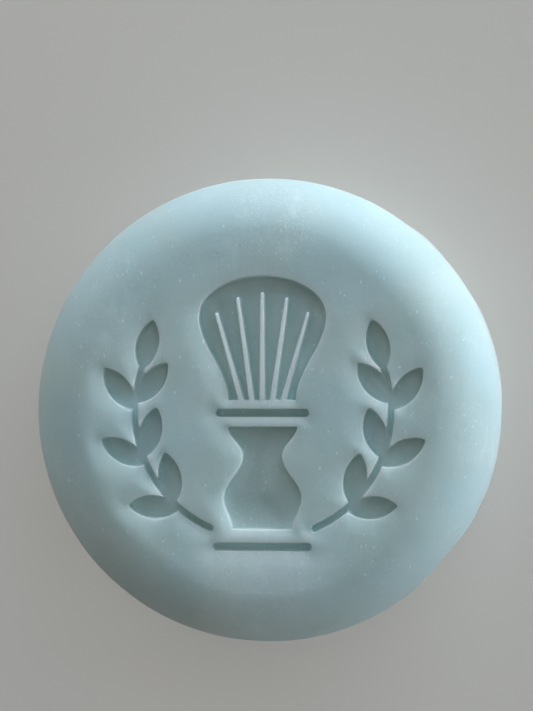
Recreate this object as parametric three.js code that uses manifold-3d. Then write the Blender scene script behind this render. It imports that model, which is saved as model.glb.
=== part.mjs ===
// A round shaving soap puck, cast in one piece and lying face up.
// Millimetres, +Z up. The origin is the middle of the flat back, and +Y is the top of the pattern.
// The face carries a recessed pattern: a shaving brush between two leafy sprigs.

import * as THREE from 'three';
import { mergeVertices } from 'three/addons/utils/BufferGeometryUtils.js';
import Module from 'manifold-3d';

// The cast body.
const DIAMETER = 75; // across the wall where it meets the shoulder
const THICKNESS = 25;
const SHOULDER_RADIUS = 10; // the quarter round between the wall and the face
const WALL_DRAFT = 0.4; // the wall leans out by this much from the shoulder to the back edge
const BODY_SEGMENTS = 120;
const SHOULDER_SEGMENTS = 10;

// Flats left where the wall was trimmed by hand: their bearings in degrees, and how deep they bite.
const WALL_FLATS = [{ bearing: -41, bite: 0.3 }];
const BACK_EDGE_FLATS = [{ bearing: 60, bite: 0.2 }, { bearing: 36, bite: 0.25 }, { bearing: -6, bite: 0.2 }];
const BACK_EDGE_FLAT_LEAN = 12; // degrees that a back edge flat leans outwards as it climbs
const FLAT_CUTTER_SIZE = 30;

// Every recess.
const RECESS_DEPTH = 1.6;
const RECESS_DRAFT = 0.16; // a recess wall leans in by this much on its way down to the floor
const CUTTER_HEADROOM = 4; // how far a recess cutter stands above the face
const ARC_STEPS = 6; // passed to three.js, which takes twice as many steps along an arc
const TURNED_STEPS = 6; // between two stations of a turned outline

// The brush: a domed knot with raised ribs for its bristles, a ferrule line, a turned handle, a foot line.
// A station is a height on the pattern and half the width there.
const KNOT = { base: { y: 1.6, halfWidth: 5.4 }, shoulder: { y: 15, halfWidth: 10.2 }, domeHeight: 6.4 };
const RIB_COUNT = 5;
const RIB_SPREAD = 8; // degrees between neighbouring ribs
const RIB_FAN_Y = -10; // the ribs point away from here
const RIB_ROOT = { reach: 11.4, halfWidth: 0.4 };
const RIB_TIP = { reach: 28.5, halfWidth: 0.2 };
const RIB_DOME = 0.55; // a rib is shorter than a middle one would be, by this times its place squared
const LINE_HALF_WIDTH = 0.7;
const FERRULE_LINE = { y: -0.4, halfLength: 6.8 };
const HANDLE = [
  { y: -18.9, halfWidth: 4.9 },
  { y: -13.9, halfWidth: 6.3 },
  { y: -7.2, halfWidth: 3.2 },
  { y: -2.5, halfWidth: 5.6 },
];
const FOOT_LINE = { y: -21.6, halfLength: 7.2 };

// The sprigs: each a curved stem with pairs of leaves and one leaf at its tip. Bearings in degrees.
const STEM = { radius: 20.4, halfWidth: 0.6, from: -66, to: 20 };
const LEAF = { length: 8.2, halfWidth: 1.9, tipRadius: 0.45 };
const LEAF_PAIRS = 3;
const FIRST_PAIR = -50;
const PAIR_STEP = 25;
const INNER_LEAF_LEAD = 3; // an inner leaf starts this much further along the stem than its partner
const LEAF_SPLAY = 36; // degrees between a leaf and the stem
const LEAF_CENTRE = 4.2; // from the stem to the middle of a leaf
const TIP_LEAF = { bearing: 18, splay: 4, centre: 4.2 };

const FACE_Z = THICKNESS;
const WALL_TOP_Z = THICKNESS - SHOULDER_RADIUS;
const WALL_TOP_RADIUS = DIAMETER / 2;
const BACK_RADIUS = WALL_TOP_RADIUS + WALL_DRAFT;
const WALL_LEAN = -THREE.MathUtils.radToDeg(Math.atan(WALL_DRAFT / WALL_TOP_Z));
const ORIGIN = new THREE.Vector2();
const radians = THREE.MathUtils.degToRad;

const wasm = await Module();
wasm.setup();

// A closed three.js geometry as a solid, with shared vertices merged and empty triangles dropped.
function solidFrom(geometry) {
  const bare = geometry.clone();
  bare.deleteAttribute('normal');
  bare.deleteAttribute('uv');
  const merged = mergeVertices(bare, 1e-4);
  const corners = Array.from(merged.index.array);
  const kept = [];
  for (let i = 0; i < corners.length; i += 3) {
    const [a, b, c] = corners.slice(i, i + 3);
    if (a !== b && b !== c && c !== a) kept.push(a, b, c);
  }
  return new wasm.Manifold(new wasm.Mesh({
    numProp: 3,
    vertProperties: new Float32Array(merged.attributes.position.array),
    triVerts: new Uint32Array(kept),
  }));
}

function geometryFrom(solid) {
  const mesh = solid.getMesh();
  const geometry = new THREE.BufferGeometry();
  geometry.setAttribute('position', new THREE.BufferAttribute(mesh.vertProperties, 3));
  geometry.setIndex(new THREE.BufferAttribute(mesh.triVerts, 1));
  geometry.computeVertexNormals();
  return geometry;
}

// The body, turned about its axis: flat back, drafted wall, round shoulder, flat face.
function bodySolid() {
  const shoulderCentre = WALL_TOP_RADIUS - SHOULDER_RADIUS;
  const profile = [new THREE.Vector2(0, 0), new THREE.Vector2(BACK_RADIUS, 0)];
  for (let i = 0; i <= SHOULDER_SEGMENTS; i += 1) {
    const turn = (Math.PI / 2) * (i / SHOULDER_SEGMENTS);
    profile.push(new THREE.Vector2(
      shoulderCentre + SHOULDER_RADIUS * Math.cos(turn),
      WALL_TOP_Z + SHOULDER_RADIUS * Math.sin(turn),
    ));
  }
  profile.push(new THREE.Vector2(0, FACE_Z));
  // A lathe turns about Y, so its axis is stood up along Z.
  return solidFrom(new THREE.LatheGeometry(profile, BODY_SEGMENTS).rotateX(Math.PI / 2));
}

// A block whose inner side leaves a flat: at height z it stands at the wall's radius less the bite.
function flatCutter({ bearing, bite }, radius, z, lean) {
  const size = FLAT_CUTTER_SIZE;
  return solidFrom(new THREE.BoxGeometry(size, size, 2 * size)
    .translate(size / 2, 0, 0)
    .rotateY(radians(lean))
    .translate(radius - bite, 0, z)
    .rotateZ(radians(bearing)));
}

// The outline round two circles: a straight-sided stroke with round ends.
function strokeShape(start, startRadius, end, endRadius) {
  const along = end.clone().sub(start);
  const heading = along.angle();
  const side = Math.PI / 2 + Math.asin((endRadius - startRadius) / along.length());
  const shape = new THREE.Shape();
  shape.absarc(start.x, start.y, startRadius, heading + side, heading - side + 2 * Math.PI);
  shape.absarc(end.x, end.y, endRadius, heading - side, heading + side);
  return shape;
}

function lineShape({ y, halfLength }) {
  const left = new THREE.Vector2(-halfLength, y);
  const right = new THREE.Vector2(halfLength, y);
  return strokeShape(left, LINE_HALF_WIDTH, right, LINE_HALF_WIDTH);
}

// The right-hand side of a turned outline: stations joined by smooth S curves.
function turnedSide(stations) {
  const points = [];
  for (let i = 0; i + 1 < stations.length; i += 1) {
    const [low, high] = [stations[i], stations[i + 1]];
    for (let step = 0; step < TURNED_STEPS; step += 1) {
      const part = step / TURNED_STEPS;
      const eased = (1 - Math.cos(Math.PI * part)) / 2;
      points.push(new THREE.Vector2(
        THREE.MathUtils.lerp(low.halfWidth, high.halfWidth, eased),
        THREE.MathUtils.lerp(low.y, high.y, part),
      ));
    }
  }
  const last = stations[stations.length - 1];
  points.push(new THREE.Vector2(last.halfWidth, last.y));
  return points;
}

function mirrored(points) {
  return points.map((point) => new THREE.Vector2(-point.x, point.y)).reverse();
}

function handleShape() {
  const side = turnedSide(HANDLE);
  return new THREE.Shape([...side, ...mirrored(side)]);
}

function knotShape() {
  const { base, shoulder, domeHeight } = KNOT;
  const side = turnedSide([base, shoulder]);
  const shape = new THREE.Shape(side);
  shape.absellipse(0, shoulder.y, shoulder.halfWidth, domeHeight, 0, Math.PI);
  for (const point of mirrored(side).slice(1)) shape.lineTo(point.x, point.y);
  return shape;
}

// One raised rib of the knot. Its place is counted from the middle of the fan.
function ribShape(place) {
  const tilt = radians(90 - place * RIB_SPREAD);
  const outwards = new THREE.Vector2(Math.cos(tilt), Math.sin(tilt));
  const fanCentre = new THREE.Vector2(0, RIB_FAN_Y);
  const root = fanCentre.clone().addScaledVector(outwards, RIB_ROOT.reach);
  const tip = fanCentre.clone().addScaledVector(outwards, RIB_TIP.reach - RIB_DOME * place ** 2);
  return strokeShape(root, RIB_ROOT.halfWidth, tip, RIB_TIP.halfWidth);
}

// A curved line of even width with round ends, on the stem's circle.
function stemShape() {
  const { radius, halfWidth } = STEM;
  const [from, to] = [radians(STEM.from), radians(STEM.to)];
  const shape = new THREE.Shape();
  shape.absarc(0, 0, radius + halfWidth, from, to);
  shape.absarc(radius * Math.cos(to), radius * Math.sin(to), halfWidth, to, to + Math.PI);
  shape.absarc(0, 0, radius - halfWidth, to, from, true);
  shape.absarc(radius * Math.cos(from), radius * Math.sin(from), halfWidth, from + Math.PI, from + 2 * Math.PI);
  return shape;
}

// An almond leaf: two long arcs of one radius that run smoothly into small round tips.
function leafShape(centre, heading) {
  const { length, halfWidth, tipRadius } = LEAF;
  const reach = length / 2 - tipRadius;
  const sideRadius = (reach ** 2 + halfWidth ** 2 - tipRadius ** 2) / (2 * (halfWidth - tipRadius));
  const sideOffset = sideRadius - halfWidth;
  const tipTurn = Math.PI / 2 - Math.atan2(reach, sideOffset);
  const shape = new THREE.Shape();
  const addArc = (x, y, radius, from, to) => {
    const middle = new THREE.Vector2(x, y).rotateAround(ORIGIN, heading).add(centre);
    shape.absarc(middle.x, middle.y, radius, heading + from, heading + to);
  };
  addArc(reach, 0, tipRadius, -tipTurn, tipTurn);
  addArc(0, -sideOffset, sideRadius, tipTurn, Math.PI - tipTurn);
  addArc(-reach, 0, tipRadius, Math.PI - tipTurn, Math.PI + tipTurn);
  addArc(0, sideOffset, sideRadius, Math.PI + tipTurn, 2 * Math.PI - tipTurn);
  return shape;
}

// A leaf that grows from the stem at a bearing and splays away from it, inwards if the splay is negative.
function stemLeaf({ bearing, splay, centre }) {
  const heading = radians(bearing + 90 - splay);
  const outwards = new THREE.Vector2(Math.cos(heading), Math.sin(heading));
  const root = new THREE.Vector2(STEM.radius, 0).rotateAround(ORIGIN, radians(bearing));
  return leafShape(root.addScaledVector(outwards, centre), heading);
}

// The right-hand sprig. The left one is its mirror image.
function sprigShapes() {
  const shapes = [stemShape(), stemLeaf(TIP_LEAF)];
  for (let i = 0; i < LEAF_PAIRS; i += 1) {
    const bearing = FIRST_PAIR + i * PAIR_STEP;
    shapes.push(stemLeaf({ bearing, splay: LEAF_SPLAY, centre: LEAF_CENTRE }));
    shapes.push(stemLeaf({ bearing: bearing + INNER_LEAF_LEAD, splay: -LEAF_SPLAY, centre: LEAF_CENTRE }));
  }
  return shapes;
}

// A slice of pattern, as wide as its shape at the face. By the floor it has grown by the flare.
function patternSolid(shape, flare) {
  return solidFrom(new THREE.ExtrudeGeometry(shape, {
    depth: CUTTER_HEADROOM,
    curveSegments: ARC_STEPS,
    bevelSegments: 1,
    bevelThickness: RECESS_DEPTH,
    bevelSize: -flare,
    bevelOffset: flare,
  }).translate(0, 0, FACE_Z));
}

// The tools that cut the recesses, each narrower at the floor so that the puck leaves its mould.
function recessCutters() {
  const cutter = (shape) => patternSolid(shape, -RECESS_DRAFT);
  let knot = cutter(knotShape());
  for (let i = 0; i < RIB_COUNT; i += 1) {
    const rib = patternSolid(ribShape(i - (RIB_COUNT - 1) / 2), RECESS_DRAFT);
    knot = knot.subtract(rib);
  }
  const middle = [lineShape(FERRULE_LINE), handleShape(), lineShape(FOOT_LINE)].map(cutter);
  const right = sprigShapes().map(cutter);
  const left = right.map((solid) => solid.mirror([1, 0, 0]));
  return [knot, ...middle, ...right, ...left];
}

function puckSolid() {
  const cutters = [
    ...WALL_FLATS.map((flat) => flatCutter(flat, WALL_TOP_RADIUS, WALL_TOP_Z, WALL_LEAN)),
    ...BACK_EDGE_FLATS.map((flat) => flatCutter(flat, BACK_RADIUS, 0, BACK_EDGE_FLAT_LEAN)),
    ...recessCutters(),
  ];
  return cutters.reduce((puck, cutter) => puck.subtract(cutter), bodySolid());
}

const soap = new THREE.MeshStandardMaterial({ color: 0xc3dcd9, roughness: 0.45, metalness: 0 });
const puck = new THREE.Mesh(geometryFrom(puckSolid()), soap);
puck.name = 'soap_puck';

const group = new THREE.Group();
group.add(puck);

export default group;
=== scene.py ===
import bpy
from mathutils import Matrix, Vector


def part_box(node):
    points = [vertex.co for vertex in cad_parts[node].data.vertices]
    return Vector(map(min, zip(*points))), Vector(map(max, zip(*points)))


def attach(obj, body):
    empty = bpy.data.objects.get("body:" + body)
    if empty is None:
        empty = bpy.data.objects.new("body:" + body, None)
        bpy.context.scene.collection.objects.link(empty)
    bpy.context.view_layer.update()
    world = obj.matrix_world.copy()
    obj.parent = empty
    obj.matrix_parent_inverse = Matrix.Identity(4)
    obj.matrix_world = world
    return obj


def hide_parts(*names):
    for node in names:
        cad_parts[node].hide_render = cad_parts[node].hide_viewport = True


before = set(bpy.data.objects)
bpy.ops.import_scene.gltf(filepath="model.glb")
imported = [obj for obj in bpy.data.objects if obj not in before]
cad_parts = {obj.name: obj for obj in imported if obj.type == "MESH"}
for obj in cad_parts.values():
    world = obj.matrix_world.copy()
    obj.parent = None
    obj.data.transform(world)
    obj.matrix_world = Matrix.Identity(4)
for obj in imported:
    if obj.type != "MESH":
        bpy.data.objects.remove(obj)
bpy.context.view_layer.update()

import math

import bmesh
import bpy
import numpy as np
from mathutils import Matrix, Vector, noise
from mathutils.geometry import delaunay_2d_cdt

# A cast shaving soap puck that lies on its flat back. The puck is worked out in millimetres and
# scaled to metres when its mesh is made. Bearings are degrees from +X towards +Y.

NODE = "soap_puck"
BODY = "root"
MM = 0.001

low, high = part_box(NODE)
BACK_RADIUS = (high.x - low.x) / 2 / MM
THICKNESS = (high.z - low.z) / MM

# The cast body.
WALL_DRAFT = 0.4
SHOULDER_RADIUS = 10.0
WALL_RADIUS = BACK_RADIUS - WALL_DRAFT
FACE_RADIUS = WALL_RADIUS - SHOULDER_RADIUS
WALL_HEIGHT = THICKNESS - SHOULDER_RADIUS
SHOULDER_LENGTH = SHOULDER_RADIUS * math.pi / 2
WALL_LEAN = WALL_DRAFT / WALL_HEIGHT
WALL_FLATS = ((-41, 0.3),)  # bearing, and how deep the flat bites
BACK_EDGE_FLATS = ((60, 0.2), (36, 0.25), (-6, 0.2))
BACK_EDGE_FLAT_LEAN = 12  # degrees
FLAT_SOFTNESS = 0.3
FIN = 0.28  # the flash that stands out from the back edge
FIN_PROFILE = (  # height, share of the fin there, inset from the edge
    (0.75, 0.0, 0.0), (0.58, 0.25, 0.0), (0.42, 0.85, 0.0), (0.24, 1.0, 0.0),
    (0.08, 0.85, 0.0), (0.0, 0.45, 0.1), (0.0, 0.0, 0.5), (0.0, 0.0, 1.4),
)
BACK_DISH = 0.25  # the back sinks by this much towards its middle, where the soap shrank
BACK_DISH_RUN = 6.0  # over this distance from the edge
FACE_BUBBLES = 7
BACK_BUBBLES = 60
BUBBLE_CLEARANCE = 1.2  # the face's bubbles keep this far from a recess

# Every recess: a rolled edge, a wall that leans in and a flat floor.
RECESS_DEPTH = 1.6
WALL_RUN = 0.16  # how far a recess's wall leans in over its whole depth
ROLL_DROP = 0.45  # how far the face sinks towards the softest edges
ROLL_REACH = 3.4  # how far from an edge that starts
ROLL_BEARING = 222  # the die was pulled away this way, so the edges on that side are the softest
ROLL_LEAST = 0.12  # the share of the drop on the opposite side
ROLL_BLUR = 0.3
FLOOR_FILLET = 0.3
FLOOR_RISE = 0.12  # the floor curves up by this much where it meets the wall

# The brush.
KNOT = ((1.6, 5.4), (15.0, 10.2))  # height on the pattern, half width there
DOME_HEIGHT = 6.4
RIB_COUNT = 5
RIB_SPREAD = 8  # degrees between neighbouring ribs
RIB_FAN_Y = -10  # the ribs point away from here
RIB_ROOT = (11.4, 0.4)  # reach from the fan's centre, half width
RIB_TIP = (28.5, 0.2)
RIB_DOME = 0.55  # a rib is shorter than a middle one would be, by this times its place squared
LINE_HALF_WIDTH = 0.7
FERRULE_LINE = (-0.4, 6.8)  # height, half length
HANDLE = ((-18.9, 4.9), (-13.9, 6.3), (-7.2, 3.2), (-2.5, 5.6))
FOOT_LINE = (-21.6, 7.2)

# The sprigs.
STEM_RADIUS = 20.4
STEM_HALF_WIDTH = 0.6
STEM_FROM, STEM_TO = -66, 20
LEAF_LENGTH = 8.2
LEAF_HALF_WIDTH = 1.9
LEAF_TIP_RADIUS = 0.45
LEAF_PAIRS = 3
FIRST_PAIR = -50
PAIR_STEP = 25
INNER_LEAF_LEAD = 3  # an inner leaf starts this much further along the stem than its partner
LEAF_SPLAY = 36  # degrees between a leaf and the stem
LEAF_CENTRE = 4.2  # from the stem to the middle of a leaf
TIP_LEAF = (18, 4, 4.2)  # bearing, splay, distance from the stem to its middle

# The meshes.
ARC_STEPS = 24
PITCH = 0.1  # of the grid that the pattern is worked out on
PATTERN_REACH = ROLL_REACH + 0.2  # nothing sinks further than this from a recess
DISC_RADIUS = 29.0  # the part of the top that is triangulated round the pattern
RING_COUNT = 480  # points in each ring round the puck
SIDE_RINGS = 56
OUTER_CONTOURS = (0.04, 0.16, 0.34, 0.58, 0.9, 1.3, 1.9)  # distances outside a recess
FLOOR_CONTOURS = (0, 0.15, 0.5, 1)  # places across the floor's fillet
CONTOUR_STRIDE = 3  # every so many points of a contour are kept
LOOSE_FROM = 2.2  # loose points fill the face from this far outside a recess
FLOOR_MARGIN = 0.25  # and a recess's floor from this far inside its fillet
FACE_SPACING = 0.75
BACK_SPACING = 1.3


def arc(x, y, radius, start, end, radius_y=None):
    """Points along a circle, or along an ellipse where a second radius is given."""
    turn = np.linspace(start, end, ARC_STEPS)
    return np.column_stack([x + radius * np.cos(turn), y + (radius_y or radius) * np.sin(turn)])


def direction(heading):
    """The unit vector at that heading, in radians."""
    return np.array([math.cos(heading), math.sin(heading)])


def stroke(start, start_radius, end, end_radius):
    """The outline round two circles."""
    along = np.subtract(end, start)
    heading = math.atan2(along[1], along[0])
    side = math.pi / 2 + math.asin((end_radius - start_radius) / math.hypot(*along))
    return np.vstack([
        arc(*start, start_radius, heading + side, heading - side + 2 * math.pi),
        arc(*end, end_radius, heading - side, heading + side),
    ])


def line(height, half_length):
    """A level line with round ends."""
    return stroke((-half_length, height), LINE_HALF_WIDTH, (half_length, height), LINE_HALF_WIDTH)


def turned_side(stations):
    """The right-hand side of a turned outline: stations joined by smooth S curves."""
    points = []
    for (y0, w0), (y1, w1) in zip(stations, stations[1:]):
        part = np.linspace(0, 1, ARC_STEPS, endpoint=False)
        eased = (1 - np.cos(math.pi * part)) / 2
        points.append(np.column_stack([w0 + (w1 - w0) * eased, y0 + (y1 - y0) * part]))
    points.append(np.array([stations[-1][::-1]]))
    return np.vstack(points)


def mirrored(outline):
    return outline * (-1, 1)


def handle():
    side = turned_side(HANDLE)
    return np.vstack([side, mirrored(side)[::-1]])


def knot():
    side = turned_side(KNOT)[:-1]
    height, half_width = KNOT[-1]
    dome = arc(0, height, half_width, 0, math.pi, DOME_HEIGHT)
    return np.vstack([side, dome, mirrored(side)[::-1]])


def rib(place):
    """A raised rib of the knot. Its place is counted from the middle of the fan."""
    outwards = direction(math.radians(90 - place * RIB_SPREAD))
    centre = np.array([0, RIB_FAN_Y])
    tip_reach = RIB_TIP[0] - RIB_DOME * place ** 2
    return stroke(centre + outwards * RIB_ROOT[0], RIB_ROOT[1], centre + outwards * tip_reach, RIB_TIP[1])


def stem():
    start, end = math.radians(STEM_FROM), math.radians(STEM_TO)
    root, tip = STEM_RADIUS * direction(start), STEM_RADIUS * direction(end)
    return np.vstack([
        arc(0, 0, STEM_RADIUS + STEM_HALF_WIDTH, start, end),
        arc(*tip, STEM_HALF_WIDTH, end, end + math.pi),
        arc(0, 0, STEM_RADIUS - STEM_HALF_WIDTH, end, start),
        arc(*root, STEM_HALF_WIDTH, start + math.pi, start + 2 * math.pi),
    ])


def leaf(bearing, splay, centre):
    """An almond leaf on the stem: two long arcs that run smoothly into small round tips."""
    reach = LEAF_LENGTH / 2 - LEAF_TIP_RADIUS
    squares = reach ** 2 + LEAF_HALF_WIDTH ** 2 - LEAF_TIP_RADIUS ** 2
    side_radius = squares / (2 * (LEAF_HALF_WIDTH - LEAF_TIP_RADIUS))
    offset = side_radius - LEAF_HALF_WIDTH
    turn = math.pi / 2 - math.atan2(reach, offset)
    outline = np.vstack([
        arc(reach, 0, LEAF_TIP_RADIUS, -turn, turn),
        arc(0, -offset, side_radius, turn, math.pi - turn),
        arc(-reach, 0, LEAF_TIP_RADIUS, math.pi - turn, math.pi + turn),
        arc(0, offset, side_radius, math.pi + turn, 2 * math.pi - turn),
    ])
    heading = math.radians(bearing + 90 - splay)
    turned = outline @ np.array([direction(heading), direction(heading + math.pi / 2)])
    return turned + STEM_RADIUS * direction(math.radians(bearing)) + centre * direction(heading)


def sprig():
    shapes = [stem(), leaf(*TIP_LEAF)]
    for pair in range(LEAF_PAIRS):
        bearing = FIRST_PAIR + pair * PAIR_STEP
        shapes.append(leaf(bearing, LEAF_SPLAY, LEAF_CENTRE))
        shapes.append(leaf(bearing + INNER_LEAF_LEAD, -LEAF_SPLAY, LEAF_CENTRE))
    return shapes


def outline_distance(points, outline):
    """Distance from each point to a closed outline, negative inside it."""
    squared = np.full(len(points), np.inf)
    inside = np.zeros(len(points), bool)
    for a, b in zip(outline, np.roll(outline, -1, 0)):
        edge = b - a
        length_squared = edge @ edge
        if length_squared < 1e-12:
            continue
        offset = points - a
        part = np.clip(offset @ edge / length_squared, 0, 1)
        gap = offset - part[:, None] * edge
        squared = np.minimum(squared, (gap * gap).sum(1))
        crosses = (a[1] > points[:, 1]) != (b[1] > points[:, 1])
        rise = edge[1] if edge[1] else 1.0
        inside ^= crosses & (points[:, 0] < a[0] + edge[0] * (points[:, 1] - a[1]) / rise)
    return np.sqrt(squared) * np.where(inside, -1, 1)


def pattern_grid():
    """Distance to the nearest recess over a square grid, negative inside a recess."""
    steps = int(DISC_RADIUS / PITCH) + 1
    ticks = np.arange(-steps, steps + 1) * PITCH
    x, y = np.meshgrid(ticks, ticks)

    def near(outline, blank):
        field = np.full(x.shape, blank)
        lowest, highest = outline.min(0) - PATTERN_REACH, outline.max(0) + PATTERN_REACH
        mask = (x > lowest[0]) & (x < highest[0]) & (y > lowest[1]) & (y < highest[1])
        field[mask] = outline_distance(np.column_stack([x[mask], y[mask]]), outline)
        return field

    field = near(knot(), PATTERN_REACH)
    for i in range(RIB_COUNT):
        field = np.maximum(field, -near(rib(i - (RIB_COUNT - 1) / 2), PATTERN_REACH))
    right = sprig()
    for outline in [line(*FERRULE_LINE), handle(), line(*FOOT_LINE), *right, *map(mirrored, right)]:
        field = np.minimum(field, near(outline, PATTERN_REACH))
    return ticks, field


def rolled_height(distance):
    """How far the face has sunk towards the recesses, over the grid of distances."""
    slope_y, slope_x = np.gradient(distance, PITCH)
    pull = direction(math.radians(ROLL_BEARING))
    facing = blurred((1 + slope_x * pull[0] + slope_y * pull[1]) / 2, ROLL_BLUR)
    share = ROLL_LEAST + (1 - ROLL_LEAST) * np.clip(facing, 0, 1) ** 1.5
    near = np.clip(1 - np.maximum(distance, 0) / ROLL_REACH, 0, 1)
    return blurred(-ROLL_DROP * share * near ** 2, ROLL_BLUR)


def wall_height(distance):
    """How far the wall and the floor of a recess stand below the edge."""
    down = np.clip(-distance / WALL_RUN, 0, 1)
    level = np.clip((-distance - WALL_RUN) / FLOOR_FILLET, 0, 1)
    return -(RECESS_DEPTH - ROLL_DROP / 2 - FLOOR_RISE) * down - FLOOR_RISE * (1 - (1 - level) ** 2)


def blurred(field, width):
    """The field smoothed by a Gaussian of that width in millimetres."""
    reach = int(3 * width / PITCH) + 1
    offsets = np.arange(-reach, reach + 1)
    weights = np.exp(-0.5 * (offsets * PITCH / width) ** 2)
    weights /= weights.sum()
    for axis in (0, 1):
        field = sum(w * np.roll(field, k, axis) for k, w in zip(offsets, weights))
    return field


def sampled(ticks, field, points):
    """The grid's value at each point, read between its four neighbours."""
    place = np.clip((points - ticks[0]) / PITCH, 0, len(ticks) - 1.001)
    cell = place.astype(int)
    part = place - cell
    i, j = cell[:, 1], cell[:, 0]
    u, v = part[:, 1], part[:, 0]
    return (
        field[i, j] * (1 - u) * (1 - v) + field[i, j + 1] * (1 - u) * v
        + field[i + 1, j] * u * (1 - v) + field[i + 1, j + 1] * u * v
    )


def contours(ticks, field, level):
    """Closed loops of points where the grid crosses a level."""
    above = field > level
    points = {}
    for axis in (0, 1):
        ahead = np.roll(above, -1, axis)
        crossing = above != ahead
        if axis == 0:
            crossing[-1] = False
        else:
            crossing[:, -1] = False
        for i, j in zip(*np.nonzero(crossing)):
            k, m = (i + 1, j) if axis == 0 else (i, j + 1)
            part = (level - field[i, j]) / (field[k, m] - field[i, j])
            row = i + part if axis == 0 else i
            column = j if axis == 0 else j + part
            points[(axis, i, j)] = (ticks[0] + column * PITCH, ticks[0] + row * PITCH)
    links = {key: [] for key in points}
    cells = {(i, j) for _, i, j in points}
    cells |= {(i - 1, j) for axis, i, j in points if axis == 1}
    cells |= {(i, j - 1) for axis, i, j in points if axis == 0}
    for i, j in cells:
        sides = [(0, i, j), (1, i + 1, j), (0, i, j + 1), (1, i, j)]
        crossed = [side for side in sides if side in points]
        for a, b in zip(crossed[::2], crossed[1::2]):
            links[a].append(b)
            links[b].append(a)
    loops = []
    unused = dict.fromkeys(sorted(points))
    while unused:
        key = next(iter(unused))
        loop = []
        while key is not None:
            del unused[key]
            loop.append(points[key])
            key = next((other for other in links[key] if other in unused), None)
        loops.append(np.array(loop))
    return loops


def recess_loops(ticks, field):
    """The contours that the face's triangles follow, close together where the surface turns."""
    inside = [0.0] + [-WALL_RUN - part * FLOOR_FILLET for part in FLOOR_CONTOURS]
    loops = []
    for level in (*OUTER_CONTOURS, *inside):
        loops += [loop[::CONTOUR_STRIDE] for loop in contours(ticks, field, level + 1e-4)]
    return [loop for loop in loops if len(loop) > 5]


def circle(radius, count):
    turn = np.linspace(0, 2 * math.pi, count, endpoint=False)
    return np.column_stack([radius * np.cos(turn), radius * np.sin(turn)])


def flat_points(plan):
    """Plan points with a height of 0."""
    return np.column_stack([plan, np.zeros(len(plan))])


def scattered(radius, spacing, seed):
    """Points spread evenly over a disc, each nudged a little."""
    rng = np.random.default_rng(seed)
    ticks = np.arange(-radius, radius, spacing)
    x, y = np.meshgrid(ticks, ticks * math.sqrt(3) / 2)
    x = x + (np.arange(len(ticks)) % 2)[:, None] * spacing / 2
    points = np.column_stack([x.ravel(), y.ravel()])
    points += rng.uniform(-0.15, 0.15, points.shape) * spacing
    return points[np.hypot(*points.T) < radius - spacing / 2]


def triangulated(loops, loose):
    """Plan points and Delaunay triangles through closed loops and loose points."""
    points, edges = [], []
    for loop in loops:
        first, count = len(points), len(loop)
        points += [Vector(p) for p in loop]
        edges += [(first + i, first + (i + 1) % count) for i in range(count)]
    points += [Vector(p) for p in loose]
    made = delaunay_2d_cdt(points, edges, [], 0, 1e-5)
    return np.array([tuple(p) for p in made[0]]), made[2]


def pits(count, radius, seed, gap_to_pattern=None):
    """Tiny air bubbles that opened at the surface: the place, radius and depth of each."""
    rng = np.random.default_rng(seed)
    found = []
    while len(found) < count:
        place = rng.uniform(-radius, radius, 2)
        size = rng.uniform(0.13, 0.18) + 0.2 * rng.random() ** 4
        if np.hypot(*place) > radius - 1:
            continue
        if gap_to_pattern is not None and gap_to_pattern(place[None])[0] < BUBBLE_CLEARANCE:
            continue
        if any(math.dist(place, other[:2]) < 1.6 * (size + other[2]) for other in found):
            continue
        found.append((*place, size, 0.2 * size))
    return found


def pit_points(pit):
    """Plan points in rings round a pit, so that its hollow has triangles to show it."""
    x, y, radius, _ = pit
    rings = [circle(radius * part, count) for part, count in ((0.4, 5), (0.75, 8), (1.0, 10), (1.3, 10))]
    return np.vstack([np.zeros((1, 2)), *rings]) + (x, y)


def with_pits(loose, found):
    """Loose plan points with those near a pit replaced by the pit's own."""
    for x, y, radius, _ in found:
        loose = loose[np.hypot(loose[:, 0] - x, loose[:, 1] - y) > 1.9 * radius]
    return np.vstack([loose, *map(pit_points, found)])


def pit_height(points, found):
    """How far the skin dips into the pits."""
    height = np.zeros(len(points))
    for x, y, radius, depth in found:
        squared = (points[:, 0] - x) ** 2 + (points[:, 1] - y) ** 2
        part = np.clip(1 - squared / radius ** 2, 0, 1)
        height -= depth * part ** 2
    return height


def wander(points, size, seed):
    """Smooth noise from -1 to 1 at each point, with bumps of about that size."""
    offset = Vector((seed * 13.7, seed * 5.3, seed * 9.1))
    return np.array([noise.noise(Vector(p) / size + offset) for p in points])


def skin_noise(points):
    """The slight unevenness of the cast skin, in millimetres."""
    return 0.06 * wander(points, 9.0, 1) + 0.018 * wander(points, 3.1, 2) + 0.006 * wander(points, 1.3, 3)


def profile(s):
    """Radius, height and outward normal at each distance s from the middle of the face, along the skin."""
    s = np.asarray(s, float)
    turn = np.clip((s - FACE_RADIUS) / SHOULDER_RADIUS, 0, math.pi / 2)
    drop = np.clip(s - FACE_RADIUS - SHOULDER_LENGTH, 0, None)
    radius = np.minimum(s, FACE_RADIUS) + SHOULDER_RADIUS * np.sin(turn) + drop * WALL_LEAN
    height = WALL_HEIGHT + SHOULDER_RADIUS * np.cos(turn) - drop
    return radius, height, np.sin(turn), np.cos(turn)


def on_skin(s, bearing):
    """Points and outward normals at those distances along the skin and those bearings."""
    radius, height, outward, upward = profile(s)
    cos, sin = np.cos(bearing), np.sin(bearing)
    points = np.column_stack([radius * cos, radius * sin, height])
    normals = np.column_stack([outward * cos, outward * sin, upward])
    return points, normals


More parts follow.
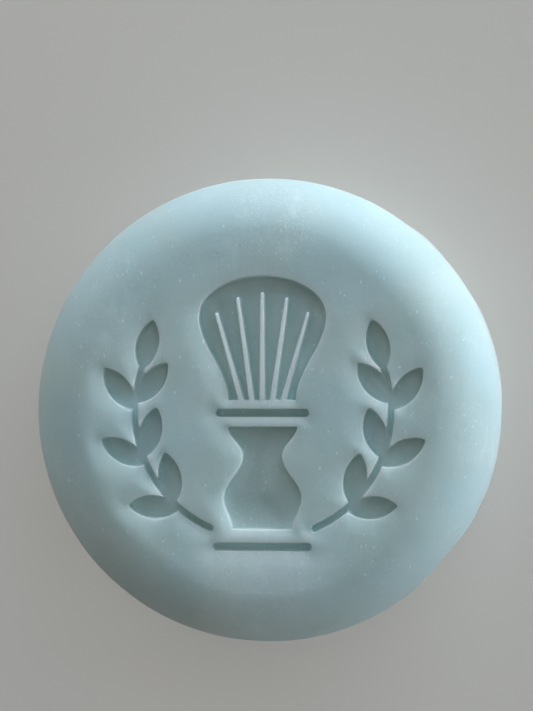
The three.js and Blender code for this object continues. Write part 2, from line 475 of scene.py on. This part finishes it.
def pared(points, outwards, limit):
    """Moves points in to a flat across that heading, with a soft edge round the flat."""
    over = points @ outwards - limit
    eased = np.clip((over + FLAT_SOFTNESS) / (2 * FLAT_SOFTNESS), 0, None)
    shift = np.where(over > FLAT_SOFTNESS, over, FLAT_SOFTNESS * eased ** 2)
    return points - shift[:, None] * outwards


def trimmed(points):
    """Pares the flats on the wall and the back edge."""
    for bearing, bite in WALL_FLATS:
        outwards = np.array([*direction(math.radians(bearing)), 0])
        limit = WALL_RADIUS - bite + WALL_LEAN * (WALL_HEIGHT - points[:, 2])
        points = pared(points, outwards, limit)
    for bearing, bite in BACK_EDGE_FLATS:
        outwards = np.array([*direction(math.radians(bearing)), 0])
        limit = BACK_RADIUS - bite + math.tan(math.radians(BACK_EDGE_FLAT_LEAN)) * points[:, 2]
        points = pared(points, outwards, limit)
    return points


def face_part():
    """The face and the start of the shoulder, triangulated round the pattern."""
    ticks, distance = pattern_grid()
    rolled = rolled_height(distance)

    def to_pattern(points):
        return sampled(ticks, distance, points)

    loops = recess_loops(ticks, distance)
    bubbles = pits(FACE_BUBBLES, FACE_RADIUS, 5, to_pattern)
    loose = scattered(DISC_RADIUS, FACE_SPACING, 6)
    gap = to_pattern(loose)
    on_floor = gap < -WALL_RUN - FLOOR_FILLET - FLOOR_MARGIN
    loose = with_pits(loose[(gap > LOOSE_FROM) | on_floor], bubbles)
    plan, triangles = triangulated([circle(DISC_RADIUS, RING_COUNT), *loops], loose)
    radius = np.hypot(*plan.T)
    over = np.clip((radius - FACE_RADIUS) / SHOULDER_RADIUS, 0, 1)
    s = np.minimum(radius, FACE_RADIUS) + SHOULDER_RADIUS * np.arcsin(over)
    points, normals = on_skin(s, np.arctan2(plan[:, 1], plan[:, 0]))
    points += normals * skin_noise(points)[:, None]
    fade = np.clip((DISC_RADIUS - 0.5 - radius) / 0.5, 0, 1)
    sunk = sampled(ticks, rolled, plan) + wall_height(to_pattern(plan)) + pit_height(plan, bubbles)
    points[:, 2] += sunk * fade
    return points, triangles


def side_rings():
    """The rest of the shoulder, the wall and the back edge, as rings of points."""
    bearing = np.linspace(0, 2 * math.pi, RING_COUNT, endpoint=False)
    start = FACE_RADIUS + SHOULDER_RADIUS * math.asin((DISC_RADIUS - FACE_RADIUS) / SHOULDER_RADIUS)
    end = FACE_RADIUS + SHOULDER_LENGTH + WALL_HEIGHT - 1.0
    rings = []
    for s in np.linspace(start, end, SIDE_RINGS):
        points, normals = on_skin(np.full(RING_COUNT, s), bearing)
        rings.append(points + normals * skin_noise(points)[:, None])
    edge = circle(1, RING_COUNT)
    ragged = wander(flat_points(edge * 22), 2.0, 7)
    drift = wander(flat_points(edge * 30), 14.0, 8)
    fin = FIN * np.clip(0.55 + 0.6 * drift + 0.25 * ragged, 0.05, 1)
    unevenness = skin_noise(flat_points(edge * BACK_RADIUS))
    for height, share, inset in FIN_PROFILE:
        radius = BACK_RADIUS - inset + fin * share + unevenness * (1 - share)
        rings.append(np.column_stack([edge * radius[:, None], np.full(RING_COUNT, height)]))
    return [trimmed(ring) for ring in rings]


def back_part(rim):
    """The back: nearly flat, a little sunk and uneven where the soap cooled, with a few bubbles."""
    radius = BACK_RADIUS - FIN_PROFILE[-1][2]
    bubbles = pits(BACK_BUBBLES, radius, 15)
    loose = with_pits(scattered(radius - 0.6, BACK_SPACING, 16), bubbles)
    plan, triangles = triangulated([rim[:, :2]], loose)
    inwards = np.clip((radius - np.hypot(*plan.T)) / BACK_DISH_RUN, 0, 1)
    level = flat_points(plan)
    rise = 0.5 * BACK_DISH * (1 - np.cos(math.pi * inwards))
    rise += inwards * (0.08 * wander(level, 11.0, 9) + 0.03 * wander(level, 3.5, 10))
    rise -= pit_height(plan, bubbles) * inwards
    level[:, 2] = np.maximum(rise, 0)
    return level, [tuple(reversed(t)) for t in triangles]


def puck_mesh():
    """The face, the side rings and the back, joined into one closed skin."""
    points, faces = face_part()
    blocks = [points]
    faces = [tuple(t) for t in faces]
    rings = side_rings()
    first = len(points)
    for k in range(len(rings) - 1):
        for i in range(RING_COUNT):
            j = (i + 1) % RING_COUNT
            a, b = first + k * RING_COUNT, first + (k + 1) * RING_COUNT
            faces.append((a + i, b + i, b + j, a + j))
    blocks += rings
    first += len(rings) * RING_COUNT
    back, triangles = back_part(rings[-1])
    faces += [tuple(first + corner for corner in t) for t in triangles]
    blocks.append(back)
    mesh = bpy.data.meshes.new("soap_puck_skin")
    mesh.from_pydata(np.vstack(blocks) * MM, [], faces)
    work = bmesh.new()
    work.from_mesh(mesh)
    bmesh.ops.remove_doubles(work, verts=work.verts, dist=0.002 * MM)
    work.to_mesh(mesh)
    work.free()
    mesh.polygons.foreach_set("use_smooth", [True] * len(mesh.polygons))
    mesh.validate()
    return mesh


class Nodes:
    """Adds shader nodes to a material and joins them."""

    def __init__(self, material):
        material.use_nodes = True
        self.tree = material.node_tree
        self.shader = self.tree.nodes["Principled BSDF"]
        self.place = self.add("ShaderNodeTexCoord").outputs["Object"]

    def add(self, kind, **settings):
        node = self.tree.nodes.new(kind)
        for name, value in settings.items():
            setattr(node, name, value)
        return node

    def link(self, source, target):
        self.tree.links.new(source, target)

    def noise(self, size, detail=2.0, roughness=0.5, stretch=(1, 1, 1), turn=0, seed=0):
        """Noise from 0 to 1 with features of about that many millimetres."""
        mapping = self.add("ShaderNodeMapping")
        mapping.inputs["Location"].default_value = (3.7 * seed, 5.9 * seed, 1.3 * seed)
        mapping.inputs["Rotation"].default_value = (0, 0, math.radians(turn))
        mapping.inputs["Scale"].default_value = [part / (size * MM) for part in stretch]
        self.link(self.place, mapping.inputs["Vector"])
        node = self.add("ShaderNodeTexNoise")
        node.inputs["Scale"].default_value = 1.0
        node.inputs["Detail"].default_value = detail
        node.inputs["Roughness"].default_value = roughness
        self.link(mapping.outputs["Vector"], node.inputs["Vector"])
        return node.outputs["Fac"]

    def grains(self, size, radius, seed):
        """Small ragged flecks: 1 within that many millimetres of scattered points, 0 beyond."""
        warp = self.add("ShaderNodeTexNoise")
        warp.inputs["Scale"].default_value = 1 / (0.5 * MM)
        self.link(self.place, warp.inputs["Vector"])
        shift = self.add("ShaderNodeVectorMath", operation="MULTIPLY_ADD")
        self.link(warp.outputs["Color"], shift.inputs[0])
        shift.inputs[1].default_value = [2.5 * radius * MM] * 3
        self.link(self.place, shift.inputs[2])
        mapping = self.add("ShaderNodeMapping")
        mapping.inputs["Location"].default_value = (3.1 * seed, 1.7 * seed, 4.3 * seed)
        mapping.inputs["Rotation"].default_value = (0, 0, math.radians(40 * seed))
        mapping.inputs["Scale"].default_value = [1 / (size * MM), 0.6 / (size * MM), 1 / (size * MM)]
        self.link(shift.outputs["Vector"], mapping.inputs["Vector"])
        node = self.add("ShaderNodeTexVoronoi")
        node.inputs["Scale"].default_value = 1.0
        self.link(mapping.outputs["Vector"], node.inputs["Vector"])
        return self.ranged(node.outputs["Distance"], radius / size, 0.5 * radius / size)

    def near(self, x, y, reach):
        """1 close to a place on the face, fading to 0 at that many millimetres from it."""
        away = self.add("ShaderNodeVectorMath", operation="DISTANCE")
        self.link(self.place, away.inputs[0])
        away.inputs[1].default_value = (x * MM, y * MM, THICKNESS * MM)
        return self.ranged(away.outputs["Value"], reach * MM, 0.3 * reach * MM)

    def ranged(self, value, low, high, to_low=0.0, to_high=1.0):
        """The value eased from one range to another."""
        node = self.add("ShaderNodeMapRange", interpolation_type="SMOOTHSTEP")
        self.link(value, node.inputs["Value"])
        names = ("From Min", "From Max", "To Min", "To Max")
        for name, number in zip(names, (low, high, to_low, to_high)):
            node.inputs[name].default_value = number
        return node.outputs["Result"]

    def math(self, operation, a, b):
        node = self.add("ShaderNodeMath", operation=operation)
        for socket, value in zip(node.inputs, (a, b)):
            if isinstance(value, (int, float)):
                socket.default_value = value
            else:
                self.link(value, socket)
        return node.outputs["Value"]

    def mixed(self, amount, a, b):
        """A colour between two colours."""
        node = self.add("ShaderNodeMix", data_type="RGBA")
        self.link(amount, node.inputs["Factor"])
        for socket, value in zip((node.inputs[6], node.inputs[7]), (a, b)):
            if isinstance(value, tuple):
                socket.default_value = (*value, 1)
            else:
                self.link(value, socket)
        return node.outputs[2]

    def bump(self, height, depth, below=None):
        """A bump of that many millimetres from a height of 0 to 1, over an earlier bump."""
        node = self.add("ShaderNodeBump")
        node.inputs["Strength"].default_value = 1.0
        node.inputs["Distance"].default_value = depth * MM
        self.link(height, node.inputs["Height"])
        if below is not None:
            self.link(below, node.inputs["Normal"])
        return node.outputs["Normal"]


SOAP = (0.66, 0.79, 0.78)
SOAP_DULL = (0.61, 0.75, 0.74)  # where the batch cooled duller
SOAP_COOL = (0.62, 0.79, 0.82)
BLOOM_AND_PAINTED_LIGHT = (0.84, 0.95, 0.97)  # the pale ash and grains on the skin, and the colour of the painted light on the lower shoulder
DUSTED = ((2, 30, 12), (0, -27, 14))  # where the powder lies thickest: x, y, reach
PAINTED_SKYLIGHT_PATCH = (0, -29, 15)  # painted light: the lower shoulder made paler where skylight falls on it; x, y, reach


def soap_material():
    """Cast soap: waxy, translucent, faintly mottled, with pale grains, patches of bloom and a patch of
    painted light on the lower shoulder.
    """
    material = bpy.data.materials.new("soap_skin")
    nodes = Nodes(material)
    shader = nodes.shader

    mottle = nodes.ranged(nodes.noise(11, 3), 0.35, 0.65)
    drift = nodes.ranged(nodes.noise(19, 2), 0.4, 0.62)
    colour = nodes.mixed(mottle, SOAP, SOAP_DULL)
    colour = nodes.mixed(nodes.math("MULTIPLY", drift, 0.7), colour, SOAP_COOL)

    dusted = nodes.math("MAXIMUM", *[nodes.near(*zone) for zone in DUSTED])
    patches = nodes.ranged(nodes.noise(12, 3, 0.55, seed=1), 0.42, 0.62)
    patches = nodes.math("MAXIMUM", patches, dusted)
    streaks = nodes.ranged(nodes.noise(2.2, 4, 0.65, (1, 0.4, 1), 35), 0.46, 0.72)
    powder = nodes.ranged(nodes.noise(0.5, 3, 0.7), 0.46, 0.72)
    bloom = nodes.math("MULTIPLY", patches, nodes.math("MAXIMUM", streaks, powder))
    thickness = nodes.ranged(dusted, 0, 1, 0.3, 0.6)
    colour = nodes.mixed(nodes.math("MULTIPLY", bloom, thickness), colour, BLOOM_AND_PAINTED_LIGHT)
    # painted light: the lower shoulder is mixed towards pale, standing in for skylight falling there
    colour = nodes.mixed(nodes.math("MULTIPLY", nodes.near(*PAINTED_SKYLIGHT_PATCH), 0.4), colour, BLOOM_AND_PAINTED_LIGHT)

    density = nodes.math("MAXIMUM", patches, 0.4)
    fine = nodes.math("MULTIPLY", nodes.grains(0.7, 0.12, 1), 0.6)
    medium = nodes.math("MULTIPLY", nodes.grains(1.0, 0.17, 2), 0.85)
    grains = nodes.math("MULTIPLY", nodes.math("MAXIMUM", fine, medium), density)
    grains = nodes.math("MAXIMUM", grains, nodes.grains(2.0, 0.21, 3))
    clumps = nodes.ranged(nodes.noise(2.4, 3, 0.6, seed=4), 0.48, 0.6)
    clumps = nodes.math("MULTIPLY", clumps, nodes.math("MAXIMUM", dusted, 0.25))
    specks = nodes.math("MULTIPLY", nodes.grains(0.5, 0.15, 5), clumps)
    grains = nodes.math("MAXIMUM", grains, nodes.math("MULTIPLY", specks, 0.9))
    colour = nodes.mixed(grains, colour, BLOOM_AND_PAINTED_LIGHT)
    nodes.link(colour, shader.inputs["Base Color"])

    polish = nodes.ranged(nodes.noise(5, 3), 0.3, 0.7, 0.52, 0.66)
    dull = nodes.math("MULTIPLY", nodes.math("MAXIMUM", grains, bloom), 0.2)
    nodes.link(nodes.math("ADD", polish, dull), shader.inputs["Roughness"])

    normal = nodes.bump(nodes.noise(2.6, 2), 0.05)
    normal = nodes.bump(nodes.noise(0.45, 3, 0.6), 0.012, normal)
    normal = nodes.bump(grains, 0.02, normal)
    nodes.link(normal, shader.inputs["Normal"])

    shader.inputs["Subsurface Weight"].default_value = 1.0
    shader.inputs["Specular IOR Level"].default_value = 0.4
    shader.inputs["Subsurface Radius"].default_value = (0.85, 1.0, 1.0)
    shader.inputs["Subsurface Scale"].default_value = 3.0 * MM
    return material


def make_puck():
    puck = bpy.data.objects.new("cast_soap_puck", puck_mesh())
    bpy.context.scene.collection.objects.link(puck)
    puck.data.materials.append(soap_material())
    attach(puck, BODY)
    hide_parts(NODE)


# The studio, in metres.
SWEEP_FLAT, SWEEP_CURVE, SWEEP_WALL = 3.7, 0.6, 1.2
SWEEP_SIDES = 96
SWEEP_CURVE_STEPS = 12
PAPER = (0.64, 0.58, 0.52)
BACKDROP = (0.66, 0.67, 0.66)
BACKDROP_FADE = (0.3, 2.0)  # where the floor starts and ends its fade into the backdrop
BACKDROP_SHARE = 0.33  # how much of the floor beside the puck is backdrop already


def paper_material():
    """Matt paper, which only the camera sees fade into one even pale backdrop further off."""
    material = bpy.data.materials.new("studio_paper")
    nodes = Nodes(material)
    paper = nodes.shader
    paper.inputs["Base Color"].default_value = (*PAPER, 1)
    paper.inputs["Roughness"].default_value = 0.9
    paper.inputs["Specular IOR Level"].default_value = 0.1
    backdrop = nodes.add("ShaderNodeEmission")
    backdrop.inputs["Color"].default_value = (*BACKDROP, 1)
    distance = nodes.add("ShaderNodeVectorMath", operation="LENGTH")
    nodes.link(nodes.place, distance.inputs[0])
    far_off = nodes.ranged(distance.outputs["Value"], *BACKDROP_FADE, BACKDROP_SHARE, 1)
    seen = nodes.add("ShaderNodeLightPath").outputs["Is Camera Ray"]
    blend = nodes.add("ShaderNodeMixShader")
    nodes.link(nodes.math("MULTIPLY", far_off, seen), blend.inputs["Fac"])
    nodes.link(paper.outputs["BSDF"], blend.inputs[1])
    nodes.link(backdrop.outputs["Emission"], blend.inputs[2])
    nodes.link(blend.outputs["Shader"], material.node_tree.nodes["Material Output"].inputs["Surface"])
    return material


def make_floor():
    """A pale studio sweep: a flat floor that curves up into a low wall all round."""
    section = [(0.05, 0), (0.5, 0), (1.5, 0), (SWEEP_FLAT, 0)]
    for i in range(1, SWEEP_CURVE_STEPS + 1):
        turn = math.pi / 2 * i / SWEEP_CURVE_STEPS
        section.append((SWEEP_FLAT + SWEEP_CURVE * math.sin(turn), SWEEP_CURVE * (1 - math.cos(turn))))
    section.append((SWEEP_FLAT + SWEEP_CURVE, SWEEP_CURVE + SWEEP_WALL))
    count = SWEEP_SIDES
    points = [(0, 0, 0)]
    for radius, height in section:
        points += [(*(radius * direction(2 * math.pi * i / count)), height) for i in range(count)]
    faces = [(0, 1 + i, 1 + (i + 1) % count) for i in range(count)]
    for k in range(len(section) - 1):
        a, b = 1 + k * count, 1 + (k + 1) * count
        faces += [(a + i, b + i, b + (i + 1) % count, a + (i + 1) % count) for i in range(count)]
    mesh = bpy.data.meshes.new("studio_sweep")
    mesh.from_pydata(points, [], faces)
    mesh.polygons.foreach_set("use_smooth", [True] * len(mesh.polygons))
    mesh.materials.append(paper_material())
    floor = bpy.data.objects.new("studio_sweep", mesh)
    bpy.context.scene.collection.objects.link(floor)


# Lights. Bearings and elevations are in degrees, distances and sizes in metres, power in watts.
DAYLIGHT = (0.85, 0.95, 1.04)
SKY = (0.46, 0.76, 1.0)
SHADE = (0.81, 1.04, 1.22)  # cooler daylight, from the shaded side of the room
CEILING = (0.95, 0.98, 0.86)
ROOM = (1.0, 0.92, 0.84)
ROOM_STRENGTH = 0.1


def add_light(name, bearing, elevation, distance, size, power, colour):
    """A soft rectangular light that faces the puck and doesn't show in the picture."""
    data = bpy.data.lights.new(name, "AREA")
    data.shape = "RECTANGLE"
    data.size, data.size_y = size
    data.energy = power
    data.color = colour
    light = bpy.data.objects.new(name, data)
    turn, rise = math.radians(bearing), math.radians(elevation)
    towards = Vector((*(direction(turn) * math.cos(rise)), math.sin(rise)))
    light.location = towards * distance + Vector((0, 0, THICKNESS * MM))
    light.rotation_mode = "QUATERNION"
    light.rotation_quaternion = towards.to_track_quat("Z", "Y")
    light.visible_camera = False
    bpy.context.scene.collection.objects.link(light)


def make_lights():
    """Daylight that rakes across the face from a wide low window, with weaker light from elsewhere."""
    add_light("key_window", 46, 8, 2.7, (4.5, 0.72), 92, DAYLIGHT)
    add_light("high_window", 66, 40, 3.0, (2.1, 1.5), 13.5, SKY)
    add_light("left_window", 128, 15, 3.0, (2.1, 1.2), 20, DAYLIGHT)
    add_light("right_window", 336, 10, 3.0, (1.5, 0.9), 12, SHADE)
    add_light("ceiling", 60, 76, 3.3, (2.4, 2.4), 7.2, CEILING)
    world = bpy.data.worlds.new("studio_air")
    world.use_nodes = True
    background = world.node_tree.nodes["Background"]
    background.inputs["Color"].default_value = (*ROOM, 1)
    background.inputs["Strength"].default_value = ROOM_STRENGTH
    bpy.context.scene.world = world


# The camera looks down on the face from a little to the right.
CAMERA_TILT = 5.5  # degrees
CAMERA_BEARING = 8
CAMERA_DISTANCE = 0.385
SENSOR_WIDTH = 36
LENS = 123.2
AIM = (0.74, 8.7)  # the camera aims past the middle of the face by this many millimetres


def make_camera():
    data = bpy.data.cameras.new("camera")
    data.sensor_width = SENSOR_WIDTH
    data.lens = LENS
    data.clip_start, data.clip_end = 0.02, 20
    camera = bpy.data.objects.new("camera", data)
    tilt = math.radians(CAMERA_TILT)
    sideways = direction(math.radians(CAMERA_BEARING)) * math.sin(tilt)
    middle = Vector((0, 0, THICKNESS * MM))
    camera.location = middle + Vector((*sideways, math.cos(tilt))) * CAMERA_DISTANCE
    aim = middle + Vector((*AIM, 0)) * MM
    back = (camera.location - aim).normalized()
    right = Vector((0, 1, 0)).cross(back).normalized()
    axes = Matrix((right, back.cross(right), back)).transposed()
    camera.rotation_mode = "QUATERNION"
    camera.rotation_quaternion = axes.to_quaternion()
    bpy.context.scene.collection.objects.link(camera)
    bpy.context.scene.camera = camera


make_puck()
make_floor()
make_lights()
make_camera()
bpy.context.scene.view_settings.view_transform = "Standard"
